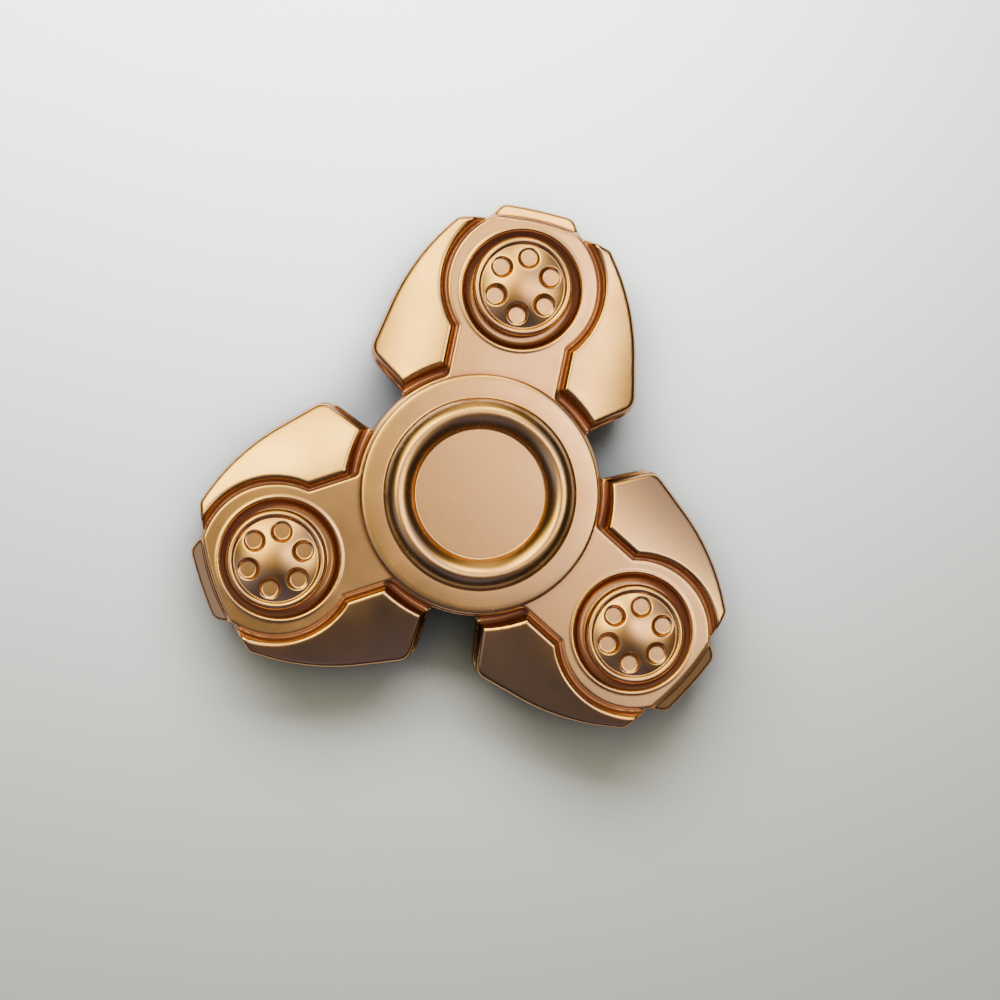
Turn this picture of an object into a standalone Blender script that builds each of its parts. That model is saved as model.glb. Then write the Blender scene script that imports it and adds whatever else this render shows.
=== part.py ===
"""Three-armed metal fidget spinner on an R188-size ball bearing.

The frame is centred on the spin axis at mid-thickness: +Z runs along the axis to the front cap, and the
first arm points along +Y. Every size below is in millimetres; MM turns them into Blender's metres.
"""

import math

import bmesh
import bpy
from mathutils import Matrix, Vector

MM = 0.001

# --- arms -------------------------------------------------------------------------------------------------
ARM_COUNT = 3
FIRST_ARM_DEG = 90.0
HUB_R = 13.8
HUB_TOP_R = 13.5        # the hub's wall leans in a little above the arms' side walls
ARM_END = 30.7          # from the spin axis to the end of an arm's web
TIP_R = 32.5            # from the spin axis to the end of its tab
POCKET_V = 23.56        # from the spin axis to the centre of a counterweight
SIDE_TOP_Z = 1.6        # half thickness of the arm's outer walls, under the plates
SIDE_CHAMFER = 0.5

# --- web: the flat floor between two side plates --------------------------------------------------------
WEB_Z = 2.6
WEB_HALF_W = 6.11
WEB_ROUND_R = 8.28
WEB_END_U = 5.2
WEB_END_V = 30.25

# --- side plates ------------------------------------------------------------------------------------------
PLATE_Z = 3.7           # top of a plate along its inner edge
PLATE_SLOPE = math.tan(math.radians(10.0))
PLATE_HALF_W = 7.11     # from the arm's centre line to the plate's straight inner edge
PLATE_ROUND_R = 9.22
PLATE_HUB_R = 14.9

# --- end tab ----------------------------------------------------------------------------------------------
TAB_HALF_W = 4.89
TAB_ROOT_V = 29.6
TAB_Z = 2.3
TAB_TIP_Z = 1.5

# --- counterweights ---------------------------------------------------------------------------------------
POCKET_R = 6.35
POCKET_FLOOR_Z = 1.3
WEIGHT_R = 5.45
WEIGHT_GROOVE_R = 4.6
WEIGHT_DOME_Z = 3.2
WEIGHT_DOME_R = 13.2
WEIGHT_RIM_Z = 2.6
WEIGHT_GROOVE_Z = 2.25
WEIGHT_SHANK_R = 2.35
SHANK_HOLE_R = 2.4
DIMPLE_COUNT = 6
DIMPLE_R = 1.2
DIMPLE_PITCH_R = 3.27
DIMPLE_FLOOR_Z = 2.35

# --- finger caps ------------------------------------------------------------------------------------------
CAP_R = 13.4
CAP_CREST_Z = 6.0       # half of the spinner's whole thickness
CAP_DISH_R = 7.15
CAP_DISH_Z = 5.0
CAP_RING_R = 8.9
CAP_RING_HALF_W = 1.45
CAP_RING_LAND = 0.15    # half width of the flat on the ring's crest, on which the spinner rests
CAP_VALLEY_Z = 4.7
CAP_RIM_IN_R = 10.7
CAP_RIM_Z = 4.9
CAP_UNDER_Z = 3.0
CAP_BOSS_R = 3.9
STEM_R = 3.12
STUD_R = 1.5
SOCKET_R = 1.55
STUD_LENGTH = 1.7

# --- bearing, R188: 6.35 x 12.70 x 4.762 ----------------------------------------------------------------
BEARING_BORE_R = 3.175
BEARING_R = 6.35
BEARING_HALF_W = 2.381
HUB_BORE_R = 6.4
BALL_COUNT = 10
BALL_R = 0.794
BALL_PITCH_R = 4.7625
GROOVE_R = 0.84
OUTER_SHOULDER_R = 5.3
INNER_SHOULDER_R = 4.225
SHIELD_SEAT_R = 5.75
SHIELD_SEAT_Z = 1.7
SNAP_GROOVE_R = 5.92
SNAP_GROOVE_Z = (1.95, 2.22)
CAGE_R = (4.38, 5.15)
CAGE_HALF_H = 1.15
CAGE_POCKET_R = 0.86

FIT = 0.03              # gap between pieces that touch
TURN_STEPS = 36
BEARING_STEPS = 30      # a multiple of the ball count, so that a facet never meets a ball
WEIGHT_STEPS = 20
DIMPLE_STEPS = 8

GOLD = (0.80, 0.56, 0.40)
GOLD_RED = (0.76, 0.48, 0.33)
STEEL = (0.62, 0.62, 0.63)
NYLON = (0.10, 0.10, 0.11)


# --- helpers ----------------------------------------------------------------------------------------------
def clear_scene():
    for obj in list(bpy.data.objects):
        bpy.data.objects.remove(obj, do_unlink=True)


def make_collection(name, hidden=False):
    collection = bpy.data.collections.new(name)
    collection.hide_render = hidden
    bpy.context.scene.collection.children.link(collection)
    return collection


def metal(name, colour, roughness, metallic=1.0):
    material = bpy.data.materials.new(name)
    material.use_nodes = True
    shader = material.node_tree.nodes["Principled BSDF"]
    shader.inputs["Base Color"].default_value = (*colour, 1.0)
    shader.inputs["Roughness"].default_value = roughness
    shader.inputs["Metallic"].default_value = metallic
    return material


def add_object(name, data, collection, material=None, smooth=False):
    obj = bpy.data.objects.new(name, data)
    collection.objects.link(obj)
    if material is not None:
        data.materials.append(material)
    if smooth:
        data.shade_smooth()
        data.set_sharp_from_angle(angle=math.radians(35))
    return obj


def as_helper(obj):
    obj.hide_render = True
    obj.display_type = "WIRE"
    return obj


def arc(centre, radius, start_deg, end_deg, count):
    """Points along an arc, both ends included."""
    points = []
    for i in range(count + 1):
        angle = math.radians(start_deg + (end_deg - start_deg) * i / count)
        points.append((centre[0] + radius * math.cos(angle), centre[1] + radius * math.sin(angle)))
    return points


def rounded(corners, count=3):
    """The points of an outline whose corners are (x, y, radius); radius 0 keeps a corner sharp."""
    points = []
    for i, (x, y, radius) in enumerate(corners):
        here = Vector((x, y))
        if radius == 0:
            points.append((x, y))
            continue
        before = (Vector(corners[i - 1][:2]) - here).normalized()
        after = (Vector(corners[(i + 1) % len(corners)][:2]) - here).normalized()
        half = before.angle(after) / 2
        centre = here + (before + after).normalized() * radius / math.sin(half)
        start = here + before * radius / math.tan(half) - centre
        end = here + after * radius / math.tan(half) - centre
        swing = start.angle_signed(end)
        for k in range(count + 1):
            point = centre + Matrix.Rotation(-swing * k / count, 2) @ start
            points.append((point.x, point.y))
    return points


def mirrored(points):
    return [(-x, y) for x, y in reversed(points)]


def arm_angle(index):
    return FIRST_ARM_DEG + index * 360.0 / ARM_COUNT


def to_arm(points, index):
    """Turns points of the arm frame (across, along) into place round the spin axis."""
    turn = Matrix.Rotation(math.radians(arm_angle(index) - 90.0), 2)
    return [tuple(turn @ Vector(point)) for point in points]


def prism(name, points, half_height, chamfer=0.0):
    """A closed mesh object of a flat outline, from -half_height to half_height."""
    curve = bpy.data.curves.new(name, "CURVE")
    curve.dimensions = "2D"
    curve.fill_mode = "BOTH"
    curve.extrude = (half_height - chamfer) * MM
    curve.bevel_depth = chamfer * MM
    curve.bevel_resolution = 0
    curve.offset = -chamfer * MM
    spline = curve.splines.new("POLY")
    spline.points.add(len(points) - 1)
    for point, (x, y) in zip(spline.points, points):
        point.co = (x * MM, y * MM, 0.0, 1.0)
    spline.use_cyclic_u = True
    source = bpy.data.objects.new(name, curve)
    bpy.context.scene.collection.objects.link(source)
    graph = bpy.context.evaluated_depsgraph_get()
    mesh = bpy.data.meshes.new_from_object(source.evaluated_get(graph))
    bpy.data.objects.remove(source, do_unlink=True)
    bm = bmesh.new()
    bm.from_mesh(mesh)
    bmesh.ops.remove_doubles(bm, verts=bm.verts, dist=0.001 * MM)
    bmesh.ops.recalc_face_normals(bm, faces=bm.faces)
    bm.to_mesh(mesh)
    bm.free()
    return mesh


def cylinder(name, radius, low, high, segments, centre=(0.0, 0.0)):
    mesh = bpy.data.meshes.new(name)
    bm = bmesh.new()
    place = Matrix.Translation(Vector((centre[0], centre[1], (low + high) / 2)) * MM)
    bmesh.ops.create_cone(bm, cap_ends=True, segments=segments, radius1=radius * MM, radius2=radius * MM,
                          depth=(high - low) * MM, matrix=place)
    bm.to_mesh(mesh)
    bm.free()
    return mesh


def turned(name, profile, steps, collection, material, closed=False):
    """A solid of revolution about Z. The profile runs down its outer side, then up its bore if closed."""
    mesh = bpy.data.meshes.new(name)
    bm = bmesh.new()
    verts = [bm.verts.new((r * MM, 0.0, z * MM)) for r, z in profile]
    for first, second in zip(verts, verts[1:]):
        bm.edges.new((first, second))
    if closed:
        bm.edges.new((verts[-1], verts[0]))
    bm.to_mesh(mesh)
    bm.free()
    obj = add_object(name, mesh, collection, material)
    screw = obj.modifiers.new("Screw", "SCREW")
    screw.axis = "Z"
    screw.angle = math.tau
    screw.steps = steps
    screw.render_steps = steps
    screw.use_merge_vertices = True
    screw.merge_threshold = 0.001 * MM
    screw.use_smooth_shade = True
    return obj


def boolean(obj, operation, helper):
    """Cuts or joins a helper object, or every object of a helper collection."""
    modifier = obj.modifiers.new(operation.title(), "BOOLEAN")
    modifier.operation = operation
    modifier.solver = "EXACT"
    if isinstance(helper, bpy.types.Collection):
        modifier.operand_type = "COLLECTION"
        modifier.collection = helper
    else:
        modifier.object = helper


def flipped(profile):
    """The same profile for the rear face: mirrored in mid-plane, and still running top to bottom."""
    return [(r, -z) for r, z in reversed(profile)]


# --- spinner body -----------------------------------------------------------------------------------------
def side_outline():
    """One arm's outer wall, for u > 0, from the hub to the end of the arm."""
    corners = [
        (9.5, 8.45, 0),
        (15.4, 12.63, 2.8),
        (12.94, 24.07, 25.0),
        (8.75, 29.55, 1.2),
        (WEB_END_U, 30.45, 0),
    ]
    return rounded(corners)


def ring_of_arms(arm_outline, hub_radius):
    """A closed outline: the hub circle, with the same arm outline standing on it at each arm."""
    points = []
    step = 360.0 / ARM_COUNT
    for index in range(ARM_COUNT):
        arm = to_arm(arm_outline, index)
        leaves = math.degrees(math.atan2(arm[-1][1], arm[-1][0]))
        joins = math.degrees(math.atan2(arm[0][1], arm[0][0])) + step
        points += arm[1:-1]
        points += arc((0, 0), hub_radius, leaves, leaves + (joins - leaves) % 360.0, 6)
    return points


def silhouette():
    side = side_outline()
    return ring_of_arms([*side, (0.0, ARM_END), *mirrored(side)], HUB_R)


def web_outline():
    knee = math.degrees(math.acos(WEB_HALF_W / WEB_ROUND_R))
    end = math.degrees(math.atan2(WEB_END_V - POCKET_V, WEB_END_U))
    side = [(WEB_HALF_W, 10.0), *arc((0.0, POCKET_V), WEB_ROUND_R, -knee, end, 8)]
    return ring_of_arms([*side, (0.0, ARM_END - 0.1), *mirrored(side)], HUB_TOP_R)


def plate_outline():
    """The top face of the plate at u > 0."""
    knee = math.degrees(math.acos(PLATE_HALF_W / PLATE_ROUND_R))
    hub_end = math.degrees(math.acos(PLATE_HALF_W / PLATE_HUB_R))
    inner = arc((0.0, POCKET_V), PLATE_ROUND_R, 44.0, -knee, 8)
    hub = arc((0.0, 0.0), PLATE_HUB_R, hub_end, hub_end - 12.0, 3)
    outer = rounded([
        (10.75, 10.3, 0),
        (15.05, 13.2, 2.6),
        (12.62, 23.97, 25.0),
        (8.5, 29.15, 1.0),
        (*inner[0], 0),
    ])
    return [*outer, *inner[1:], *hub]


def tab_outline():
    return rounded([
        (TAB_HALF_W, TAB_ROOT_V, 0),
        (TAB_HALF_W, 30.2, 0),
        (3.9, TIP_R - 0.2, 1.1),
        (0.0, TIP_R, 0),
        (-3.9, TIP_R - 0.2, 1.1),
        (-TAB_HALF_W, 30.2, 0),
        (-TAB_HALF_W, TAB_ROOT_V, 0),
    ])


def slope_faces(mesh, height_at):
    """Moves the top and bottom of a prism to plus and minus height_at(across, along), in millimetres."""
    for vert in mesh.vertices:
        height = height_at(vert.co.x / MM, vert.co.y / MM) * MM
        vert.co.z = math.copysign(height, vert.co.z)


def plate_height(across, _along):
    return PLATE_Z - PLATE_SLOPE * (abs(across) - PLATE_HALF_W)


def tab_height(_across, along):
    share = (along - TAB_ROOT_V) / (TIP_R - TAB_ROOT_V)
    return TAB_Z + (TAB_TIP_Z - TAB_Z) * share


def turn_to_arm(mesh, index):
    mesh.transform(Matrix.Rotation(math.radians(arm_angle(index) - 90.0), 4, "Z"))


def body_additions(collection):
    """What is joined to the side walls: the web with its hub ring, the raised plates and the tabs."""
    as_helper(add_object("web_blank", prism("web_blank", web_outline(), WEB_Z), collection))
    sides = {"right": plate_outline(), "left": mirrored(plate_outline())}
    for index in range(ARM_COUNT):
        for side, points in sides.items():
            name = f"plate_blank_{index + 1}_{side}"
            mesh = prism(name, points, PLATE_Z)
            slope_faces(mesh, plate_height)
            turn_to_arm(mesh, index)
            as_helper(add_object(name, mesh, collection))
        name = f"tab_blank_{index + 1}"
        mesh = prism(name, tab_outline(), TAB_Z)
        slope_faces(mesh, tab_height)
        turn_to_arm(mesh, index)
        as_helper(add_object(name, mesh, collection))


def body_cutters(collection):
    """The bearing bore and, in each arm, a pocket in each face with a hole between them for the shanks."""
    bore = cylinder("bearing_bore", HUB_BORE_R, -WEB_Z - 1, WEB_Z + 1, TURN_STEPS)
    as_helper(add_object("bearing_bore", bore, collection))
    reach = PLATE_Z + 1
    for index in range(ARM_COUNT):
        centre = to_arm([(0.0, POCKET_V)], index)[0]
        cuts = {
            "front_pocket": (POCKET_R, POCKET_FLOOR_Z, reach, 32),
            "rear_pocket": (POCKET_R, -reach, -POCKET_FLOOR_Z, 32),
            "shank_hole": (SHANK_HOLE_R, -POCKET_FLOOR_Z - 0.5, POCKET_FLOOR_Z + 0.5, WEIGHT_STEPS),
        }
        for cut, (radius, low, high, segments) in cuts.items():
            name = f"{cut}_{index + 1}"
            as_helper(add_object(name, cylinder(name, radius, low, high, segments, centre), collection))


def make_body(parts, joins, cutters, material):
    body_additions(joins)
    body_cutters(cutters)
    walls = prism("spinner_body", silhouette(), SIDE_TOP_Z, SIDE_CHAMFER)
    body = add_object("spinner_body", walls, parts, material)
    boolean(body, "UNION", joins)
    boolean(body, "DIFFERENCE", cutters)


# --- counterweights ---------------------------------------------------------------------------------------
def dome_height(radius):
    return WEIGHT_DOME_Z - WEIGHT_DOME_R + math.sqrt(WEIGHT_DOME_R ** 2 - radius ** 2)


def weight_profile():
    """A domed button inside a raised rim, on a flat back with a shank."""
    return [
        *[(r, dome_height(r)) for r in (0.0, 2.2, WEIGHT_GROOVE_R - 0.12)],
        (WEIGHT_GROOVE_R, WEIGHT_GROOVE_Z),
        (WEIGHT_GROOVE_R + 0.2, WEIGHT_RIM_Z),
        (WEIGHT_R - 0.25, WEIGHT_RIM_Z),
        (WEIGHT_R, WEIGHT_RIM_Z - 0.25),
        (WEIGHT_R, POCKET_FLOOR_Z + FIT),
        (WEIGHT_SHANK_R, POCKET_FLOOR_Z + FIT),
        (WEIGHT_SHANK_R, FIT),
        (0.0, FIT),
    ]


def dimple_cutters(name, face, collection):
    """Six cylinders that sink one counterweight's dimples; the first lies on the arm's centre line."""
    low, high = sorted((face * DIMPLE_FLOOR_Z, face * (WEIGHT_DOME_Z + 1)))
    for k in range(DIMPLE_COUNT):
        angle = math.tau * k / DIMPLE_COUNT + math.pi / 2
        centre = (DIMPLE_PITCH_R * math.cos(angle), DIMPLE_PITCH_R * math.sin(angle))
        cutter_name = f"{name}_dimple_{k + 1}"
        mesh = cylinder(cutter_name, DIMPLE_R, low, high, DIMPLE_STEPS, centre)
        yield as_helper(add_object(cutter_name, mesh, collection))


def make_weights(parts, material):
    for face_name, face in (("front", 1), ("rear", -1)):
        profile = weight_profile() if face > 0 else flipped(weight_profile())
        for index in range(ARM_COUNT):
            name = f"{face_name}_weight_{index + 1}"
            cutters = make_collection(f"{name}_cutters", hidden=True)
            holder = bpy.data.objects.new(f"{name}_place", None)
            parts.objects.link(holder)
            x, y = to_arm([(0.0, POCKET_V)], index)[0]
            holder.location = (x * MM, y * MM, 0.0)
            holder.rotation_euler.z = math.radians(arm_angle(index) - 90.0)
            weight = turned(name, profile, WEIGHT_STEPS, parts, material)
            weight.parent = holder
            for cutter in dimple_cutters(name, face, cutters):
                cutter.parent = holder
            boolean(weight, "DIFFERENCE", cutters)


# --- finger caps ------------------------------------------------------------------------------------------
def cap_face():
    """The outside of a cap, from the centre of its dish to the underside of its rim."""
    ring = []
    rise = CAP_CREST_Z - CAP_VALLEY_Z
    for k in range(7):
        angle = math.pi * (1 - k / 6)
        side = CAP_RING_LAND * (1 if k > 3 else -1 if k < 3 else 0)
        across = (CAP_RING_HALF_W - CAP_RING_LAND) * math.cos(angle) + side
        ring.append((CAP_RING_R + across, CAP_VALLEY_Z + rise * math.sin(angle)))
    middle = len(ring) // 2
    crest = [(CAP_RING_R + side * CAP_RING_LAND, CAP_CREST_Z) for side in (-1, 1)]
    ring[middle:middle + 1] = crest
    return [
        (0.0, CAP_DISH_Z),
        (CAP_DISH_R - 0.15, CAP_DISH_Z),
        (CAP_DISH_R, CAP_DISH_Z - 0.15),
        *ring,
        (CAP_RIM_IN_R, CAP_RIM_Z),
        (CAP_R - 0.3, CAP_RIM_Z),
        (CAP_R, CAP_RIM_Z - 0.3),
        (CAP_R, CAP_UNDER_Z),
        (CAP_BOSS_R, CAP_UNDER_Z),
        (CAP_BOSS_R, BEARING_HALF_W + FIT),
        (STEM_R, BEARING_HALF_W + FIT),
        (STEM_R, FIT),
    ]


def make_caps(parts, material):
    stud = [(STUD_R, FIT), (STUD_R, -STUD_LENGTH), (0.0, -STUD_LENGTH)]
    turned("front_cap", cap_face() + stud, TURN_STEPS, parts, material)
    socket = [(SOCKET_R, FIT), (SOCKET_R, STUD_LENGTH + 0.2), (0.0, STUD_LENGTH + 0.2)]
    turned("rear_cap", flipped(cap_face() + socket), TURN_STEPS, parts, material)


# --- bearing ----------------------------------------------------------------------------------------------
def groove(shoulder_r, outwards):
    """The ball groove in a race, from its upper shoulder to its lower one."""
    reach = math.degrees(math.acos((shoulder_r - BALL_PITCH_R) * outwards / GROOVE_R))
    middle = 0.0 if outwards > 0 else 180.0
    return arc((BALL_PITCH_R, 0.0), GROOVE_R, middle + outwards * reach, middle - outwards * reach, 4)


def make_outer_race(parts, material):
    low, high = SNAP_GROOVE_Z
    top = [
        (SHIELD_SEAT_R, BEARING_HALF_W),
        (BEARING_R - 0.2, BEARING_HALF_W),
        (BEARING_R, BEARING_HALF_W - 0.2),
    ]
    seat = [
        (SNAP_GROOVE_R, low),
        (SHIELD_SEAT_R, low),
        (SHIELD_SEAT_R, SHIELD_SEAT_Z),
        (OUTER_SHOULDER_R, SHIELD_SEAT_Z),
    ]
    lip = [(SHIELD_SEAT_R, high), (SNAP_GROOVE_R, high)]
    upper = seat[::-1] + lip[::-1]
    race = groove(OUTER_SHOULDER_R, 1)[::-1]
    profile = top + flipped(top) + flipped(upper) + race + upper
    turned("outer_race", profile, BEARING_STEPS, parts, material, closed=True)


def make_inner_race(parts, material):
    top = [
        (BEARING_BORE_R, BEARING_HALF_W - 0.1),
        (BEARING_BORE_R + 0.1, BEARING_HALF_W),
        (INNER_SHOULDER_R, BEARING_HALF_W),
    ]
    profile = top + groove(INNER_SHOULDER_R, -1) + flipped(top)
    turned("inner_race", profile, BEARING_STEPS, parts, material, closed=True)


def make_cage(parts, cutters, material):
    low, high = CAGE_R
    profile = [(low, CAGE_HALF_H), (high, CAGE_HALF_H), (high, -CAGE_HALF_H), (low, -CAGE_HALF_H)]
    cage = turned("ball_cage", profile, BEARING_STEPS, parts, material, closed=True)
    for index in range(BALL_COUNT):
        name = f"ball_pocket_{index + 1}"
        mesh = cylinder(name, CAGE_POCKET_R, BALL_PITCH_R - 1.5, BALL_PITCH_R + 1.5, 10)
        mesh.transform(Matrix.Rotation(math.radians(90), 4, "Y"))
        mesh.transform(Matrix.Rotation(math.tau * index / BALL_COUNT, 4, "Z"))
        as_helper(add_object(name, mesh, cutters))
    boolean(cage, "DIFFERENCE", cutters)


def make_balls(parts, material):
    mesh = bpy.data.meshes.new("bearing_ball")
    bm = bmesh.new()
    bmesh.ops.create_uvsphere(bm, u_segments=12, v_segments=6, radius=BALL_R * MM)
    bm.to_mesh(mesh)
    bm.free()
    for index in range(BALL_COUNT):
        angle = math.tau * index / BALL_COUNT
        place = Vector((math.cos(angle), math.sin(angle), 0.0)) * BALL_PITCH_R * MM
        ball = add_object(f"ball_{index + 1:02d}", mesh.copy(), parts, material, smooth=True)
        ball.location = place


def make_shields(parts, material):
    inner, outer = INNER_SHOULDER_R + 0.175, SHIELD_SEAT_R - 0.05
    low, high = SHIELD_SEAT_Z + FIT, SNAP_GROOVE_Z[0] - FIT
    profile = [(inner, high), (outer, high), (outer, low), (inner, low)]
    turned("front_shield", profile, BEARING_STEPS, parts, material, closed=True)
    turned("rear_shield", flipped(profile), BEARING_STEPS, parts, material, closed=True)


def make_snap_rings(parts, cutters, material):
    """Each is a flat split ring: a gap in it lets it be squeezed into its groove."""
    inner, outer = SHIELD_SEAT_R - 0.3, SNAP_GROOVE_R - 0.04
    low, high = SNAP_GROOVE_Z[0] + FIT, SNAP_GROOVE_Z[1] - FIT
    profile = [(inner, high), (outer, high), (outer, low), (inner, low)]
    gap = bpy.data.meshes.new("snap_ring_gap")
    bm = bmesh.new()
    place = Matrix.Translation((SHIELD_SEAT_R * MM, 0.0, 0.0)) @ Matrix.Diagonal((2, 0.9, 8, 1))
    bmesh.ops.create_cube(bm, size=MM, matrix=place)
    bm.to_mesh(gap)
    bm.free()
    cutter = as_helper(add_object("snap_ring_gap", gap, cutters))
    for name, points in (("front_snap_ring", profile), ("rear_snap_ring", flipped(profile))):
        boolean(turned(name, points, BEARING_STEPS, parts, material, closed=True), "DIFFERENCE", cutter)


# --- assembly ---------------------------------------------------------------------------------------------
def main():
    clear_scene()
    parts = make_collection("fidget_spinner")
    body_joins = make_collection("body_joins", hidden=True)
    body_cuts = make_collection("body_cutters", hidden=True)
    cage_cuts = make_collection("cage_cutters", hidden=True)
    ring_cuts = make_collection("snap_ring_cutters", hidden=True)
    body_gold = metal("body_gold", GOLD, 0.3)
    cap_gold = metal("cap_gold", GOLD, 0.35)
    weight_gold = metal("weight_gold", GOLD_RED, 0.3)
    steel = metal("bearing_steel", STEEL, 0.2)
    nylon = metal("cage_nylon", NYLON, 0.5, metallic=0.0)
    make_body(parts, body_joins, body_cuts, body_gold)
    make_weights(parts, weight_gold)
    make_caps(parts, cap_gold)
    make_outer_race(parts, steel)
    make_inner_race(parts, steel)
    make_cage(parts, cage_cuts, nylon)
    make_balls(parts, steel)
    make_shields(parts, steel)
    make_snap_rings(parts, ring_cuts, steel)


main()
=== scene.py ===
"""Looks of the copper-gold fidget spinner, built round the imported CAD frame.

Lengths are millimetres in the CAD's own frame (+Z to the front cap, first arm along +Y), and MM
turns them into metres. Each visible piece is a fine mesh in the place of its CAD node. An arm is
drawn in its own plane: u runs across it and v along it, from the spin axis. A wall's slope is its
run for each millimetre of height, and its scale keeps the field near a true distance.
"""

import math

import bmesh
import bpy
import numpy as np
from mathutils import Matrix, Vector


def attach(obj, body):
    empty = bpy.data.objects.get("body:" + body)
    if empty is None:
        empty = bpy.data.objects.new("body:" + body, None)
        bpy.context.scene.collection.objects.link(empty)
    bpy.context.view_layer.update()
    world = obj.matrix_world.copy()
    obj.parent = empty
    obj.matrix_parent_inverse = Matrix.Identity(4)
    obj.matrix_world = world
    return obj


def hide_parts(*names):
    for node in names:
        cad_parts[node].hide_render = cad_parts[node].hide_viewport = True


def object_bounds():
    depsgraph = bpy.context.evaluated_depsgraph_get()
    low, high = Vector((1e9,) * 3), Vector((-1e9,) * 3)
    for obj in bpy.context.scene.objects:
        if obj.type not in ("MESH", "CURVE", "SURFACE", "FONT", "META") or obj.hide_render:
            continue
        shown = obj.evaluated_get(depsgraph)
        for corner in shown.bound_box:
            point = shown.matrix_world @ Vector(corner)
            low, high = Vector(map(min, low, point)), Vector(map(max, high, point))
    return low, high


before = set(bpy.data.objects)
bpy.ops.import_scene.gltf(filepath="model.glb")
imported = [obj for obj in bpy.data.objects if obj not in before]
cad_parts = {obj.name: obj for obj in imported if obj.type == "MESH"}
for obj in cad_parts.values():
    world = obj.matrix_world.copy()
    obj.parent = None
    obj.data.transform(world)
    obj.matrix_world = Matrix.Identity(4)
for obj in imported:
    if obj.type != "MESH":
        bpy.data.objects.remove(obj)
cad_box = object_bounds()

MM = 0.001

# --- sizes in millimetres, with the CAD's fits ----------------------------------------------------
ARM_COUNT = 3
HUB_R = 13.8
HUB_TOP_R = 13.5
HUB_FILLET = 0.8
ARM_END = 30.7
TIP_R = 32.5
POCKET_V = 23.56
SIDE_TOP_Z = 1.5
SIDE_DRAFT = 0.025
SIDE_INSET = 0.03
WEB_Z = 2.6
WEB_HALF_W = 6.05
WEB_ROUND_R = 8.34
WEB_END_V = 30.7
WEB_END_BOW = 0.017
WEB_END_SLOPE = 0.58
WEB_END_SCALE = 0.86
GROOVE_Z = 1.5
GROOVE_SLOPE = 0.4
GROOVE_SCALE = 0.9
GROOVE_OVERLAP = 1.5
PLATE_SIDE = ((10.7, 10.2), (13.95, 12.4))
PLATE_SIDE_SLOPE = 0.36
PLATE_SIDE_SCALE = 0.94
PLATE_FALL = 0.11
PLATE_BOW = 0.012
PLATE_EDGE_R = 0.34
PLATE_RIM_R = 0.55
PLATE_Z = 3.7
PLATE_HALF_W = 6.85
PLATE_ROUND_R = 9.14
PLATE_HUB_R = 14.9
TAB_HALF_W = 5.3
TAB_TIP_HALF_W = 4.1
TAB_ROOT_V = 29.6
TAB_SHOULDER_V = 30.2
TAB_Z = 2.3
TAB_TIP_Z = 1.5
TAB_DRAFT = 0.05
TAB_EDGE_R = 0.35
POCKET_R = 6.6
POCKET_SHIFT = 0.42
POCKET_TAPER = 0.38
POCKET_SCALE = 0.93
POCKET_FLOOR_Z = 1.3
MOAT_Z = 0.95
LIP_R = 6.78
LIP_BEAD_R = 0.15
LIP_DROP = 0.10
LIP_FILLET = 0.15
SHANK_HOLE_R = 2.4
HUB_BORE_R = 6.4
WEIGHT_R = 5.6
MOAT_R = WEIGHT_R - 0.15
WEIGHT_RIM_Z = 2.6
WEIGHT_ROLL_R = 0.5
WEIGHT_CORE_R = 4.73
WEIGHT_DOME_Z = 3.2
WEIGHT_DOME_R = 13.2
WEIGHT_SHANK_R = 2.35
DIMPLE_R = 1.2
DIMPLE_FLOOR_Z = 2.35
DIMPLE_PITCH_R = 3.27
DIMPLE_COUNT = 6
DIMPLE_MOUTH_Z = 2.9
DIMPLE_SLOPE = 0.4
DIMPLE_SCALE = 0.93
CAP_R = 13.25
CAP_Z = 6.0
RING_R = 9.0
RING_INNER = (1.85, 1.05)
RING_OUTER = (1.6, 1.08)
RING_STEPS = 20
DISH_Z = 4.95
CAP_RIM_Z = 4.92
CAP_UNDER_Z = 3.0
BOSS_R = 3.9
BOSS_Z = 2.411
STEM_R = 3.12
STUD_R = 1.5
STUD_END_Z = -1.7
SOCKET_R = 1.55
SOCKET_END_Z = 1.9
FIT = 0.03
CREASE = 0.1
EDGE_R = 0.2
BODY_STEP = 0.15
WEIGHT_STEP = 0.075
LATHE_STEPS = 192


# --- outlines -------------------------------------------------------------------------------------
def arc(centre, radius, start_deg, end_deg, count):
    angles = np.radians(np.linspace(start_deg, end_deg, count + 1))
    return [(centre[0] + radius * math.cos(a), centre[1] + radius * math.sin(a)) for a in angles]


def rounded(corners, count=12):
    """The points of an outline whose corners are (x, y, radius); radius 0 keeps a corner sharp."""
    points = []
    for i, (x, y, radius) in enumerate(corners):
        here = Vector((x, y))
        if radius == 0:
            points.append((x, y))
            continue
        before = (Vector(corners[i - 1][:2]) - here).normalized()
        after = (Vector(corners[(i + 1) % len(corners)][:2]) - here).normalized()
        half = before.angle(after) / 2
        centre = here + (before + after).normalized() * radius / math.sin(half)
        start = here + before * radius / math.tan(half) - centre
        swing = start.angle_signed(here + after * radius / math.tan(half) - centre)
        for k in range(count + 1):
            point = centre + Matrix.Rotation(-swing * k / count, 2) @ start
            points.append((point.x, point.y))
    return points


def mirrored(points):
    return [(-x, y) for x, y in reversed(points)]


def silhouette():
    """One arm's outer wall at mid-thickness, both sides, closed through the hub."""
    side = rounded([
        (9.5, 8.45, 0),
        (15.4, 12.63, 2.8),
        (12.94, 24.07, 25.0),
        (8.75, 29.55, 1.2),
        (5.2, 30.45, 0),
    ])
    return [(0.0, 4.0), *side, (0.0, ARM_END), *mirrored(side)]


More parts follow.
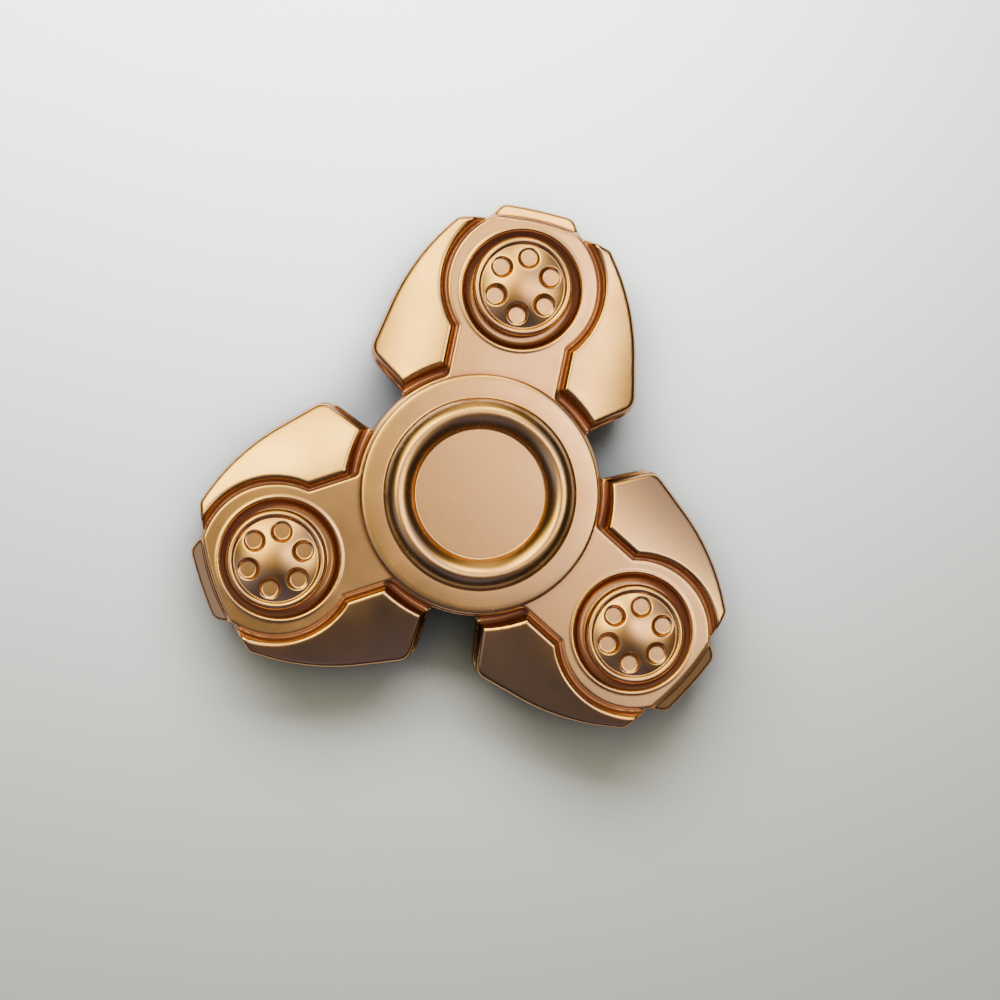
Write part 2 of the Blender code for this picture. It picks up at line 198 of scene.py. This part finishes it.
def web_outline():
    """The raised middle of an arm: a strip from the hub that swells round the pocket."""
    knee = math.degrees(math.acos(WEB_HALF_W / WEB_ROUND_R))
    side = [(WEB_HALF_W, 4.0), *arc((0.0, POCKET_V), WEB_ROUND_R, -knee, 53.0, 24), (4.98, TIP_R)]
    return [*side, *mirrored(side)]


def plate_outline():
    """The inner boundary of the side plate at u > 0, closed well outside the arm's own wall."""
    knee = math.degrees(math.acos(PLATE_HALF_W / PLATE_ROUND_R))
    hub_end = math.degrees(math.acos(PLATE_HALF_W / PLATE_HUB_R))
    inner = arc((0.0, POCKET_V), PLATE_ROUND_R, 52.0, -knee, 24)
    hub = arc((0.0, 0.0), PLATE_HUB_R, hub_end, hub_end - 30.0, 16)
    return [*inner, *hub, (20.0, 10.0), (20.0, 34.0), (6.5, 34.0)]


def tab_outline():
    """The thin lug at an arm's end."""
    tip = TIP_R - 0.2
    return rounded([
        (TAB_HALF_W, TAB_ROOT_V, 0),
        (TAB_HALF_W, TAB_SHOULDER_V, 0),
        (TAB_TIP_HALF_W, tip, 1.4),
        (0.0, TIP_R, 40.0),
        (-TAB_TIP_HALF_W, tip, 1.4),
        (-TAB_HALF_W, TAB_SHOULDER_V, 0),
        (-TAB_HALF_W, TAB_ROOT_V, 0),
    ])


# --- distance fields ------------------------------------------------------------------------------
def polygon_distance(points, x, y):
    """Signed distance from each (x, y) to a closed outline, negative inside it."""
    nearest = np.full(np.broadcast(x, y).shape, np.inf)
    inside = np.zeros(nearest.shape, bool)
    for (ax, ay), (bx, by) in zip(points, points[1:] + points[:1]):
        ex, ey = bx - ax, by - ay
        length = ex * ex + ey * ey
        if length < 1e-12:
            continue
        wx, wy = x - ax, y - ay
        along = np.clip((wx * ex + wy * ey) / length, 0.0, 1.0)
        nearest = np.minimum(nearest, (wx - ex * along) ** 2 + (wy - ey * along) ** 2)
        if ay != by:
            crosses = ((ay > y) != (by > y)) & (x < ex * (y - ay) / ey + ax)
            inside ^= crosses
    return np.where(inside, -1.0, 1.0) * np.sqrt(nearest)


def smooth_min(a, b, radius):
    """The union of two fields, with a fillet where they meet."""
    blend = np.maximum(radius - np.abs(a - b), 0.0) / radius
    return np.minimum(a, b) - blend * blend * radius * 0.25


def smooth_max(a, b, radius):
    """The overlap of two fields, with its edge rounded."""
    return -smooth_min(-a, -b, radius)


# --- surface nets ---------------------------------------------------------------------------------
CUBE = np.array([(i, j, k) for i in (0, 1) for j in (0, 1) for k in (0, 1)])
CUBE_EDGES = [
    (a, b) for a in range(8) for b in range(a + 1, 8) if np.abs(CUBE[a] - CUBE[b]).sum() == 1
]


def net_of(field, low, high, step):
    """Points and quads of the surface where field(x, y, z) is zero, inside a box."""
    axes = [np.arange(lo, hi + step, step) for lo, hi in zip(low, high)]
    x, y, z = np.meshgrid(*axes, indexing="ij", sparse=True)
    values = field(x, y, z).astype(np.float32)
    inside = values < 0
    cells = np.zeros([n - 1 for n in inside.shape], np.uint8)
    for i, j, k in CUBE:
        cells += inside[i:i + cells.shape[0], j:j + cells.shape[1], k:k + cells.shape[2]]
    where = np.argwhere((cells > 0) & (cells < 8))
    number = np.full(cells.shape, -1, np.int64)
    number[tuple(where.T)] = np.arange(len(where))
    corner = [values[tuple((where + offset).T)] for offset in CUBE]
    total = np.zeros((len(where), 3))
    count = np.zeros(len(where))
    for a, b in CUBE_EDGES:
        crossed = (corner[a] < 0) != (corner[b] < 0)
        share = np.where(crossed, corner[a] / np.where(crossed, corner[a] - corner[b], 1.0), 0.0)
        total += np.where(crossed[:, None], CUBE[a] + share[:, None] * (CUBE[b] - CUBE[a]), 0.0)
        count += crossed
    points = (where + total / count[:, None]) * step + np.array(low)
    quads = []
    for axis in range(3):
        first = np.moveaxis(inside, axis, 0)
        change = first[1:] != first[:-1]
        starts = np.argwhere(change[:, 1:-1, 1:-1]) + (0, 1, 1)
        outwards = first[:-1][tuple(starts.T)]
        ring = np.moveaxis(number, axis, 0)
        i, j, k = starts.T
        round_edge = [ring[i, j - 1, k - 1], ring[i, j, k - 1], ring[i, j, k], ring[i, j - 1, k]]
        loop = np.stack(round_edge, 1)
        if axis == 1:
            outwards = ~outwards
        loop[~outwards] = loop[~outwards][:, ::-1]
        quads.append(loop)
    return points, np.concatenate(quads)


def settle(field, points, rounds=2):
    """Moves points along the field's gradient onto its zero surface."""
    reach = 0.01
    x, y, z = points.T
    here = field(x, y, z)
    gradient = np.stack([
        field(x + reach, y, z) - here,
        field(x, y + reach, z) - here,
        field(x, y, z + reach) - here,
    ], 1) / reach
    size = np.maximum((gradient ** 2).sum(1), 0.05)
    for _ in range(rounds):
        move = np.clip(here / size, -0.1, 0.1)
        points = points - move[:, None] * gradient
        here = field(*points.T)
    return points


# --- mesh helpers ---------------------------------------------------------------------------------
def mesh_object(name, points, faces, material):
    """A smooth-shaded object from points in millimetres."""
    mesh = bpy.data.meshes.new(name)
    mesh.from_pydata((np.asarray(points) * MM).tolist(), [], faces)
    mesh.validate()
    mesh.shade_smooth()
    mesh.materials.append(material)
    obj = bpy.data.objects.new(name, mesh)
    bpy.context.scene.collection.objects.link(obj)
    return obj


def arm_turn(index):
    return 2 * math.pi * index / ARM_COUNT


def fold_to_arm(x, y):
    """Across and along the nearest arm, and the radius; across is positive, as arms mirror."""
    radius = np.hypot(x, y)
    angle = np.arctan2(y, x) - math.pi / 2
    sector = 2 * math.pi / ARM_COUNT
    angle = np.abs((angle + sector / 2) % sector - sector / 2)
    return radius * np.sin(angle), radius * np.cos(angle), radius


# --- body -----------------------------------------------------------------------------------------
SILHOUETTE = silhouette()
WEB = web_outline()
PLATE = plate_outline()
TAB = tab_outline()


def plate_top(across):
    """A plate falls away outwards, and more steeply near its outer edge."""
    out = np.clip(across - PLATE_HALF_W, 0.0, 9.0)
    return PLATE_Z - PLATE_FALL * out - PLATE_BOW * out * out


def beyond_line(line, u, v):
    """Distance from a line, positive on the right of its direction."""
    (au, av), (bu, bv) = line
    length = math.hypot(bu - au, bv - av)
    return ((u - au) * (bv - av) - (v - av) * (bu - au)) / length


def body_field(x, y, z):
    """The casting: side walls, webs, side plates, grooves and tabs, less pockets and bores."""
    u, v, radius = fold_to_arm(x, y)
    high = np.abs(z)
    pocket = np.hypot(u, v - POCKET_V)
    mouth = np.hypot(u, v - POCKET_V + POCKET_SHIFT)
    tab_2d = polygon_distance(TAB, u, v)
    outline = smooth_min(polygon_distance(SILHOUETTE, u, v), radius - HUB_R, HUB_FILLET)
    side = outline + high * SIDE_DRAFT + SIDE_INSET
    solid = smooth_max(high - SIDE_TOP_Z, side, 0.4)

    web_2d = smooth_min(polygon_distance(WEB, u, v), radius - HUB_TOP_R, 0.4)
    bow = WEB_END_BOW * u * u
    end = (v - WEB_END_V + bow - (WEB_Z - high) * WEB_END_SLOPE) * WEB_END_SCALE
    web_side = (web_2d + (high - WEB_Z) * GROOVE_SLOPE) * GROOVE_SCALE
    web = smooth_max(high - WEB_Z, web_side, EDGE_R)
    web = smooth_max(web, end, 0.15)
    web = smooth_max(web, np.minimum(side, tab_2d), EDGE_R)
    lip = np.hypot(mouth - LIP_R, high - WEB_Z + LIP_DROP) - LIP_BEAD_R
    web = smooth_min(web, lip, LIP_FILLET)

    plate_2d = polygon_distance(PLATE, u, v)
    top = plate_top(u)
    inner = (plate_2d - (top - high) * GROOVE_SLOPE) * GROOVE_SCALE
    hub_side = beyond_line(PLATE_SIDE, u, v) - (top - high) * PLATE_SIDE_SLOPE
    walls = smooth_max(inner, hub_side * PLATE_SIDE_SCALE, CREASE)
    plate = smooth_max(high - top, walls, PLATE_EDGE_R)
    plate = smooth_max(plate, side, PLATE_RIM_R)
    groove = np.maximum(np.maximum(web_2d, plate_2d) - GROOVE_OVERLAP, high - GROOVE_Z)
    groove = smooth_max(groove, side, EDGE_R)

    tab_top = TAB_Z + (TAB_TIP_Z - TAB_Z) * (v - TAB_ROOT_V) / (TIP_R - TAB_ROOT_V)
    tab = smooth_max(high - tab_top, tab_2d + high * TAB_DRAFT, TAB_EDGE_R)

    solid = smooth_min(solid, np.minimum(web, groove), CREASE)
    solid = smooth_min(solid, plate, CREASE)
    solid = smooth_min(solid, tab, CREASE)
    moat = np.maximum(MOAT_Z - high, MOAT_R - pocket)
    floor = np.minimum(POCKET_FLOOR_Z - high, moat)
    wall = (mouth - POCKET_R - (high - WEB_Z) * POCKET_TAPER) * POCKET_SCALE
    solid = smooth_max(solid, -smooth_max(wall, floor, 0.3), EDGE_R)
    solid = smooth_max(solid, SHANK_HOLE_R - pocket, CREASE)
    return smooth_max(solid, HUB_BORE_R - radius, CREASE)


def make_body(material):
    step = BODY_STEP * 1
    reach = TIP_R + 0.5
    low = (-reach, -reach * 0.75, -4.05)
    points, quads = net_of(body_field, low, (reach, reach, 4.05), step)
    points = settle(body_field, points)
    return mesh_object("spinner_body_metal", points, quads.tolist(), material)


# --- turned pieces --------------------------------------------------------------------------------
def lathe(name, profile, material):
    """A closed turned mesh: the profile (r, z) runs from the axis, down the outer side and back."""
    points = []
    faces = []
    rings = []
    for r, z in profile:
        if r < 1e-9:
            rings.append([len(points)])
            points.append((0.0, 0.0, z))
            continue
        rings.append(list(range(len(points), len(points) + LATHE_STEPS)))
        for s in range(LATHE_STEPS):
            angle = 2 * math.pi * s / LATHE_STEPS
            points.append((r * math.cos(angle), r * math.sin(angle), z))
    for upper, lower in zip(rings, rings[1:]):
        for s in range(LATHE_STEPS):
            t = (s + 1) % LATHE_STEPS
            if len(upper) == 1:
                faces.append((upper[0], lower[s], lower[t]))
            elif len(lower) == 1:
                faces.append((upper[s], lower[0], upper[t]))
            else:
                faces.append((upper[s], lower[s], lower[t], upper[t]))
    return mesh_object(name, points, faces, material)


def eased(corners, count=6):
    """A turned profile with its corners rounded, its two ends on the axis kept."""
    points = [corners[0][:2]]
    for before, (x, y, radius), after in zip(corners, corners[1:], corners[2:]):
        if radius == 0:
            points.append((x, y))
            continue
        here = Vector((x, y))
        back = Vector(before[:2]) - here
        ahead = Vector(after[:2]) - here
        half = back.angle(ahead) / 2
        cut = min(radius / math.tan(half), back.length * 0.49, ahead.length * 0.49)
        start = here + back.normalized() * cut
        end = here + ahead.normalized() * cut
        for k in range(count + 1):
            t = k / count
            point = start * (1 - t) ** 2 + here * 2 * t * (1 - t) + end * t * t
            points.append((point.x, point.y))
    points.append(corners[-1][:2])
    return points


def cap_profile(tail):
    """The finger cap's face: a shallow dish, a raised ring and a flat rim; tail is its stem."""
    ring = []
    for step in range(-RING_STEPS, RING_STEPS + 1):
        t = step / RING_STEPS
        width, height = RING_INNER if t < 0 else RING_OUTER
        ring.append((RING_R + t * width, CAP_Z - height * t * t, 0))
    return eased([
        (0.0, DISH_Z, 0),
        (3.5, DISH_Z, 0),
        (6.9, DISH_Z, 0),
        (7.05, DISH_Z, 0),
        *ring,
        (10.72, CAP_RIM_Z, 0),
        (10.85, CAP_RIM_Z, 0),
        (12.3, 4.9, 0),
        (CAP_R - 0.04, 4.86, 0.5),
        (CAP_R, CAP_UNDER_Z, 0.15),
        (BOSS_R, CAP_UNDER_Z, 0.1),
        (BOSS_R, BOSS_Z, 0),
        (STEM_R, BOSS_Z, 0),
        *tail,
    ])


def turned_over(profile):
    """The same profile on the rear face."""
    return [(r, -z) for r, z in reversed(profile)]


def make_caps(material):
    stud = [
        (STEM_R, FIT, 0.1),
        (STUD_R, FIT, 0),
        (STUD_R, STUD_END_Z, 0.2),
        (0.0, STUD_END_Z, 0),
    ]
    socket = [
        (STEM_R, FIT, 0.1),
        (SOCKET_R, FIT, 0.1),
        (SOCKET_R, SOCKET_END_Z, 0),
        (0.0, SOCKET_END_Z, 0),
    ]
    front = cap_profile(stud)
    rear = cap_profile(socket)
    yield lathe("front_cap_metal", front, material), "front_cap"
    yield lathe("rear_cap_metal", turned_over(rear), material), "rear_cap"


# --- counterweights -------------------------------------------------------------------------------
def weight_field(x, y, z):
    """A dimpled button with a rolled rim, standing on a shank, on its own axis and facing +Z."""
    radius = np.hypot(x, y)
    dome = np.sqrt(radius ** 2 + (z - WEIGHT_DOME_Z + WEIGHT_DOME_R) ** 2) - WEIGHT_DOME_R
    core = smooth_max(radius - WEIGHT_CORE_R, dome, EDGE_R)
    roll_z = z - WEIGHT_RIM_Z + WEIGHT_ROLL_R
    rim = np.hypot(radius - WEIGHT_R + WEIGHT_ROLL_R, roll_z) - WEIGHT_ROLL_R
    skirt = np.maximum(radius - WEIGHT_R, roll_z)
    head = smooth_min(np.minimum(rim, skirt), core, 0.08)
    head = smooth_max(head, POCKET_FLOOR_Z + FIT - z, CREASE)
    sector = 2 * math.pi / DIMPLE_COUNT
    angle = (np.arctan2(y, x) - math.pi / 2 + sector / 2) % sector - sector / 2
    across = radius * np.sin(angle)
    along = radius * np.cos(angle) - DIMPLE_PITCH_R
    flare = (z - DIMPLE_MOUTH_Z) * DIMPLE_SLOPE
    hole = (np.hypot(across, along) - DIMPLE_R - flare) * DIMPLE_SCALE
    dimple = smooth_max(hole, DIMPLE_FLOOR_Z - z, 0.15)
    head = smooth_max(head, -dimple, EDGE_R)
    shank = np.maximum(np.maximum(radius - WEIGHT_SHANK_R, FIT - z), z - POCKET_FLOOR_Z - 0.2)
    return np.minimum(head, shank)


def make_weights(material):
    """Six weights; the box is a little off centre so no grid point lies exactly on the surface."""
    step = WEIGHT_STEP * 1
    points, quads = net_of(weight_field, (-5.87, -5.88, -0.21), (5.87, 5.88, 3.5), step)
    points = settle(weight_field, points)
    for face, flip in (("front", 1), ("rear", -1)):
        shape = points * (1, 1, flip)
        loops = (quads if flip > 0 else quads[:, ::-1]).tolist()
        for index in range(ARM_COUNT):
            angle = arm_turn(index)
            cos, sin = math.cos(angle), math.sin(angle)
            turn = np.array([[cos, -sin], [sin, cos]])
            placed = shape.copy()
            placed[:, :2] = (shape[:, :2] + (0.0, POCKET_V)) @ turn.T
            node = f"{face}_weight_{index + 1}"
            yield mesh_object(f"{node}_metal", placed, loops, material), node


# --- materials ------------------------------------------------------------------------------------
GOLD = ((0.95, 0.56, 0.29), (0.93, 0.52, 0.25))
PRESSED_GOLD = ((0.94, 0.54, 0.27), (0.91, 0.49, 0.23))
# Painted crevice shade: a dark copper colour mixed in where the AO finds other surfaces close
CREVICE_SHADE_REACH = 1.0
CREVICE_SHADE = (0.48, 0.24, 0.25)
# Painted shade on walls: a darker tone mixed in on faces that stand along the spin axis
WALL_SHADE = (0.25, 0.16, 0.15)
EDGE_TINT = (0.5, 0.36, 0.28, 1)


def add_node(tree, kind, inputs=(), **settings):
    """A shader node with its settings made; an input is a value or another node's output socket."""
    node = tree.nodes.new("ShaderNode" + kind)
    for name, value in settings.items():
        setattr(node, name, value)
    for socket, value in dict(inputs).items():
        if isinstance(value, bpy.types.NodeSocket):
            tree.links.new(value, node.inputs[socket])
        else:
            node.inputs[socket].default_value = value
    return node


def new_surface(name, metallic):
    """A new material, with its tree, its shader and the place on the object."""
    material = bpy.data.materials.new(name)
    material.use_nodes = True
    tree = material.node_tree
    shader = tree.nodes["Principled BSDF"]
    shader.inputs["Metallic"].default_value = metallic
    place = add_node(tree, "TexCoord").outputs["Object"]
    return material, tree, shader, place


def noise(tree, place, size, detail=2.0):
    """A noise whose blotches are about size millimetres across."""
    inputs = {"Vector": place, "Scale": 1.0 / (size * MM), "Detail": detail}
    return add_node(tree, "TexNoise", inputs).outputs["Fac"]


def remap(tree, value, low, high, to_low, to_high):
    made = add_node(tree, "MapRange", {0: value, 1: low, 2: high, 3: to_low, 4: to_high})
    return made.outputs["Result"]


def scratches(tree, place, turn_deg, length, width):
    """Short hairlines all running one way, 1 in a line and 0 between lines."""
    turn = (0.0, 0.0, math.radians(turn_deg))
    spin = add_node(tree, "Mapping", {"Vector": place, "Rotation": turn})
    shrink = (1 / width, 1 / length, 1 / length)
    squeeze = add_node(tree, "Mapping", {"Vector": spin.outputs["Vector"], "Scale": shrink})
    lines = noise(tree, squeeze.outputs["Vector"], 1.0, 0.0)
    return remap(tree, lines, 0.76, 0.82, 0.0, 1.0)


def join_bumps(tree, shader, layers):
    """Bumps in a chain, each a (height, depth in millimetres)."""
    normal = None
    for height, depth in layers:
        inputs = {"Height": height, "Distance": depth * MM, "Strength": 1.0}
        if normal is not None:
            inputs["Normal"] = normal
        normal = add_node(tree, "Bump", inputs).outputs["Normal"]
    tree.links.new(normal, shader.inputs["Normal"])


def two_tone(tree, factor, first, second):
    """A colour that wanders between two tones."""
    ramp = add_node(tree, "ValToRGB", {"Fac": factor})
    ramp.color_ramp.elements[0].position = 0.35
    ramp.color_ramp.elements[0].color = (*first, 1)
    ramp.color_ramp.elements[1].position = 0.65
    ramp.color_ramp.elements[1].color = (*second, 1)
    return ramp.outputs["Color"]


def steepness(tree, level):
    """1 on a wall that stands along the spin axis, 0 on a face nearer square to it than level."""
    normal = add_node(tree, "TexCoord").outputs["Normal"]
    along_axis = add_node(tree, "SeparateXYZ", {0: normal}).outputs["Z"]
    upright = add_node(tree, "Math", {0: along_axis}, operation="ABSOLUTE").outputs["Value"]
    return remap(tree, upright, 0.3, level, 1.0, 0.0)


def paint_crevice_shade(tree, shader, clean, level):
    """Painted shade where other surfaces hem this one in, and a painted darker tone on its walls.
    """
    reach = {"Distance": CREVICE_SHADE_REACH * MM}
    open_sky = add_node(tree, "AmbientOcclusion", reach, samples=6).outputs["AO"]
    crevice_shade_amount = remap(tree, open_sky, 0.30, 0.85, 1.0, 0.0)
    # painted shade on steep walls, by how upright the face is
    part = {0: steepness(tree, level), 1: 0.8}
    wall_shade_amount = add_node(tree, "Math", part, operation="MULTIPLY").outputs["Value"]
    tones = {0: wall_shade_amount, 6: clean, 7: (*WALL_SHADE, 1)}
    wall_shaded = add_node(tree, "Mix", tones, data_type="RGBA").outputs[2]
    mixed = add_node(tree, "Mix", {0: crevice_shade_amount, 6: wall_shaded, 7: (*CREVICE_SHADE, 1)}, data_type="RGBA")
    # the painted crevice shade also makes the metal less metallic in the hollows
    tree.links.new(remap(tree, crevice_shade_amount, 0.0, 1.0, 1.0, 0.38), shader.inputs["Metallic"])
    tree.links.new(mixed.outputs[2], shader.inputs["Base Color"])


def plated(name, tones, smooth, dull, level, turned=False):
    """Satin copper-gold plating: grain, handling marks, hairlines and a cap's turning marks, with
    painted shade in its hollows and on its walls.
    """
    material, tree, shader, place = new_surface(name, 1.0)
    patches = noise(tree, place, size=5.0, detail=3.0)
    clean = two_tone(tree, patches, *tones)
    paint_crevice_shade(tree, shader, clean, level)
    shader.inputs["Specular Tint"].default_value = EDGE_TINT
    grain = noise(tree, place, size=0.12)
    swell = noise(tree, place, size=2.2, detail=1.0)
    hairs = add_node(tree, "Math", {
        0: scratches(tree, place, turn_deg=25.0, length=2.6, width=0.05),
        1: scratches(tree, place, turn_deg=118.0, length=1.8, width=0.04),
    }, operation="MAXIMUM").outputs["Value"]
    rough = {0: hairs, 1: 0.02, 2: remap(tree, patches, 0.3, 0.7, smooth, dull)}
    rough = add_node(tree, "Math", rough, operation="MULTIPLY_ADD").outputs["Value"]
    tree.links.new(rough, shader.inputs["Roughness"])
    layers = [(swell, 0.003), (grain, 0.0012), (hairs, -0.0002)]
    if turned:
        flat = add_node(tree, "VectorMath", {0: place, 1: (1.0, 1.0, 0.0)}, operation="MULTIPLY")
        radius = add_node(tree, "VectorMath", {0: flat.outputs["Vector"]}, operation="LENGTH")
        lines = {"W": radius.outputs["Value"], "Scale": 1.0 / (0.16 * MM), "Detail": 2.0}
        rings = add_node(tree, "TexNoise", lines, noise_dimensions="1D")
        layers.append((rings.outputs["Fac"], 0.0016))
    join_bumps(tree, shader, layers)
    return material


def ground_steel(name):
    """Bearing steel, ground round its axis."""
    material, tree, shader, place = new_surface(name, 1.0)
    patches = noise(tree, place, size=1.5)
    tone = two_tone(tree, patches, (0.60, 0.60, 0.61), (0.66, 0.66, 0.66))
    tree.links.new(tone, shader.inputs["Base Color"])
    streak = add_node(tree, "Mapping", {"Vector": place, "Scale": (1.0, 1.0, 12.0)})
    lines = noise(tree, streak.outputs["Vector"], size=0.3)
    tree.links.new(remap(tree, lines, 0.3, 0.7, 0.16, 0.3), shader.inputs["Roughness"])
    join_bumps(tree, shader, [(lines, 0.0012)])
    return material


def moulded_nylon(name):
    """The ball cage's dark moulded nylon, with a faint mould texture."""
    material, tree, shader, place = new_surface(name, 0.0)
    patches = noise(tree, place, size=0.8)
    tone = two_tone(tree, patches, (0.035, 0.035, 0.04), (0.05, 0.05, 0.052))
    tree.links.new(tone, shader.inputs["Base Color"])
    grain = noise(tree, place, size=0.06)
    tree.links.new(remap(tree, grain, 0.3, 0.7, 0.42, 0.6), shader.inputs["Roughness"])
    join_bumps(tree, shader, [(grain, 0.003)])
    return material


# --- stage ----------------------------------------------------------------------------------------
PICTURE_ROLL_DEG = 12.0
CAMERA_PLACE = (-11.3, -0.6, 200.0)
CAMERA_TARGET = (2.6, -0.19, 0.0)
LENS_PER_SENSOR = 1.782
TABLE_TONE = (0.180, 0.187, 0.196, 1)
TABLE_SHADE = (0.022, 0.026, 0.036, 1)
LAMP_COLOUR = (1.0, 0.985, 0.95)
WINDOW_WATTS = 2.75
CEILING_WATTS = 8.0
ROOM = (0.015, 0.014, 0.016)
# Each soft box: degrees right and up from the zenith as the picture shows it, half width in
# degrees, and radiance.
SOFT_BOXES = (
    (9.3, 5.3, 4.8, (6.0, 4.8, 3.3)),
    (14.0, -4.0, 5.0, (1.3, 1.35, 1.7)),
    (16.0, 14.0, 7.0, (0.8, 0.85, 1.2)),
    (26.0, 0.0, 7.0, (6.0, 5.2, 2.2)),
    (-21.5, 8.5, 6.8, (6.8, 5.9, 1.8)),
    (-12.0, 21.0, 7.0, (7.5, 6.9, 2.0)),
    (-26.0, 33.0, 10.0, (5.5, 4.7, 1.4)),
    (11.0, 38.0, 8.0, (8.0, 7.0, 2.6)),
    (33.0, -27.0, 9.0, (0.22, 0.22, 0.2)),
    (35.0, 22.0, 10.0, (0.4, 0.42, 0.6)),
    (-18.0, -12.0, 8.0, (0.12, 0.13, 0.22)),
    (-40.0, -20.0, 12.0, (0.35, 0.38, 0.55)),
    (0.0, -45.0, 14.0, (0.13, 0.14, 0.27)),
    (0.0, 68.0, 15.0, (0.8, 0.7, 0.25)),
)


def on_screen(right, up):
    """A world direction from one seen in the picture, whose upright is turned from +Y."""
    cos = math.cos(math.radians(PICTURE_ROLL_DEG))
    sin = math.sin(math.radians(PICTURE_ROLL_DEG))
    return Vector((right * cos - up * sin, right * sin + up * cos, 0.0))


def make_camera():
    data = bpy.data.cameras.new("camera")
    data.sensor_width = 36.0
    data.lens = data.sensor_width * LENS_PER_SENSOR
    data.clip_start = 0.01
    camera = bpy.data.objects.new("camera", data)
    bpy.context.scene.collection.objects.link(camera)
    place = Vector(CAMERA_PLACE) * MM
    target = Vector(CAMERA_TARGET) * MM
    back = (place - target).normalized()
    right = on_screen(0.0, 1.0).cross(back).normalized()
    up = back.cross(right)
    facing = Matrix((right, up, back)).transposed().to_4x4()
    camera.matrix_world = Matrix.Translation(place) @ facing
    bpy.context.scene.camera = camera


def make_floor():
    """A plain pale table, with painted shadow where the object nearly touches it."""
    mesh = bpy.data.meshes.new("floor")
    bm = bmesh.new()
    bmesh.ops.create_grid(bm, x_segments=1, y_segments=1, size=1.0)
    bm.to_mesh(mesh)
    bm.free()
    floor = bpy.data.objects.new("floor", mesh)
    floor.location.z = cad_box[0][2]
    bpy.context.scene.collection.objects.link(floor)
    material = bpy.data.materials.new("pale_table")
    material.use_nodes = True
    tree = material.node_tree
    shader = tree.nodes["Principled BSDF"]
    # painted shadow: the table turns to TABLE_SHADE where the AO finds the object close
    open_sky = add_node(tree, "AmbientOcclusion", {"Distance": 11 * MM}, samples=8).outputs["AO"]
    shade = remap(tree, open_sky, 0.4, 0.85, 1.0, 0.0)
    mixed = add_node(tree, "Mix", {0: shade, 6: TABLE_TONE, 7: TABLE_SHADE}, data_type="RGBA")
    tree.links.new(mixed.outputs[2], shader.inputs["Base Color"])
    shader.inputs["Roughness"].default_value = 0.6
    mesh.materials.append(material)
    return floor


def floor_light(floor, name, above, height, size, watts):
    """A soft light facing down, which lights the table alone; lengths here are metres."""
    data = bpy.data.lights.new(name, "AREA")
    data.shape = "RECTANGLE"
    data.size, data.size_y = size
    data.energy = watts
    data.color = LAMP_COLOUR
    light = bpy.data.objects.new(name, data)
    bpy.context.scene.collection.objects.link(light)
    light.location = (above.x, above.y, height)
    lit = bpy.data.collections.new("table")
    lit.objects.link(floor)
    light.light_linking.receiver_collection = lit


def sky_direction(right_deg, up_deg):
    """The world direction so many degrees right of and above the zenith, as the picture shows."""
    lean = on_screen(math.tan(math.radians(right_deg)), math.tan(math.radians(up_deg)))
    return Vector((lean.x, lean.y, 1.0)).normalized()


def make_world():
    """The studio: a dim room and soft boxes, each a smooth glow about one direction."""
    world = bpy.data.worlds.new("studio")
    bpy.context.scene.world = world
    world.use_nodes = True
    tree = world.node_tree
    look = add_node(tree, "TexCoord").outputs["Generated"]
    total = None
    for right, up, half_width, colour in SOFT_BOXES:
        sharpness = math.log(2) / (1 - math.cos(math.radians(half_width)))
        aim = {0: look, 1: sky_direction(right, up)}
        near = add_node(tree, "VectorMath", aim, operation="DOT_PRODUCT")
        fall = {0: near.outputs["Value"], 1: sharpness, 2: -sharpness}
        power = add_node(tree, "Math", fall, operation="MULTIPLY_ADD").outputs["Value"]
        glow = add_node(tree, "Math", {0: power}, operation="EXPONENT").outputs["Value"]
        tint = add_node(tree, "VectorMath", {0: colour, "Scale": glow}, operation="SCALE")
        parts = {0: total or ROOM, 1: tint.outputs["Vector"]}
        total = add_node(tree, "VectorMath", parts, operation="ADD").outputs["Vector"]
    tree.links.new(total, tree.nodes["Background"].inputs["Color"])


# --- assembly -------------------------------------------------------------------------------------
def add(piece, node, body):
    """A piece that rides on a body and stands for a CAD node, which it hides."""
    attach(piece, body)
    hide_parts(node)


body_gold = plated("body_gold_plating", GOLD, smooth=0.19, dull=0.25, level=0.93)
cap_gold = plated("cap_gold_plating", GOLD, smooth=0.21, dull=0.27, level=0.6, turned=True)
weight_gold = plated("weight_gold_plating", PRESSED_GOLD, smooth=0.20, dull=0.28, level=0.6)
add(make_body(body_gold), "spinner_body", "spinner")
for cap, cap_node in make_caps(cap_gold):
    add(cap, cap_node, "holder")
for weight, weight_node in make_weights(weight_gold):
    add(weight, weight_node, "spinner")
steel = ground_steel("bearing_ground_steel")
nylon = moulded_nylon("cage_moulded_nylon")
for node_name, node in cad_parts.items():
    if not node.hide_render:
        node.material_slots[0].material = nylon if node_name == "ball_cage" else steel
make_camera()
table = make_floor()
window_place = on_screen(-0.025, 0.095)
floor_light(table, "table_window", window_place, 0.079, (0.16, 0.10), WINDOW_WATTS)
floor_light(table, "table_ceiling", Vector((0.0, 0.0)), 0.8, (1.6, 1.6), CEILING_WATTS)
make_world()
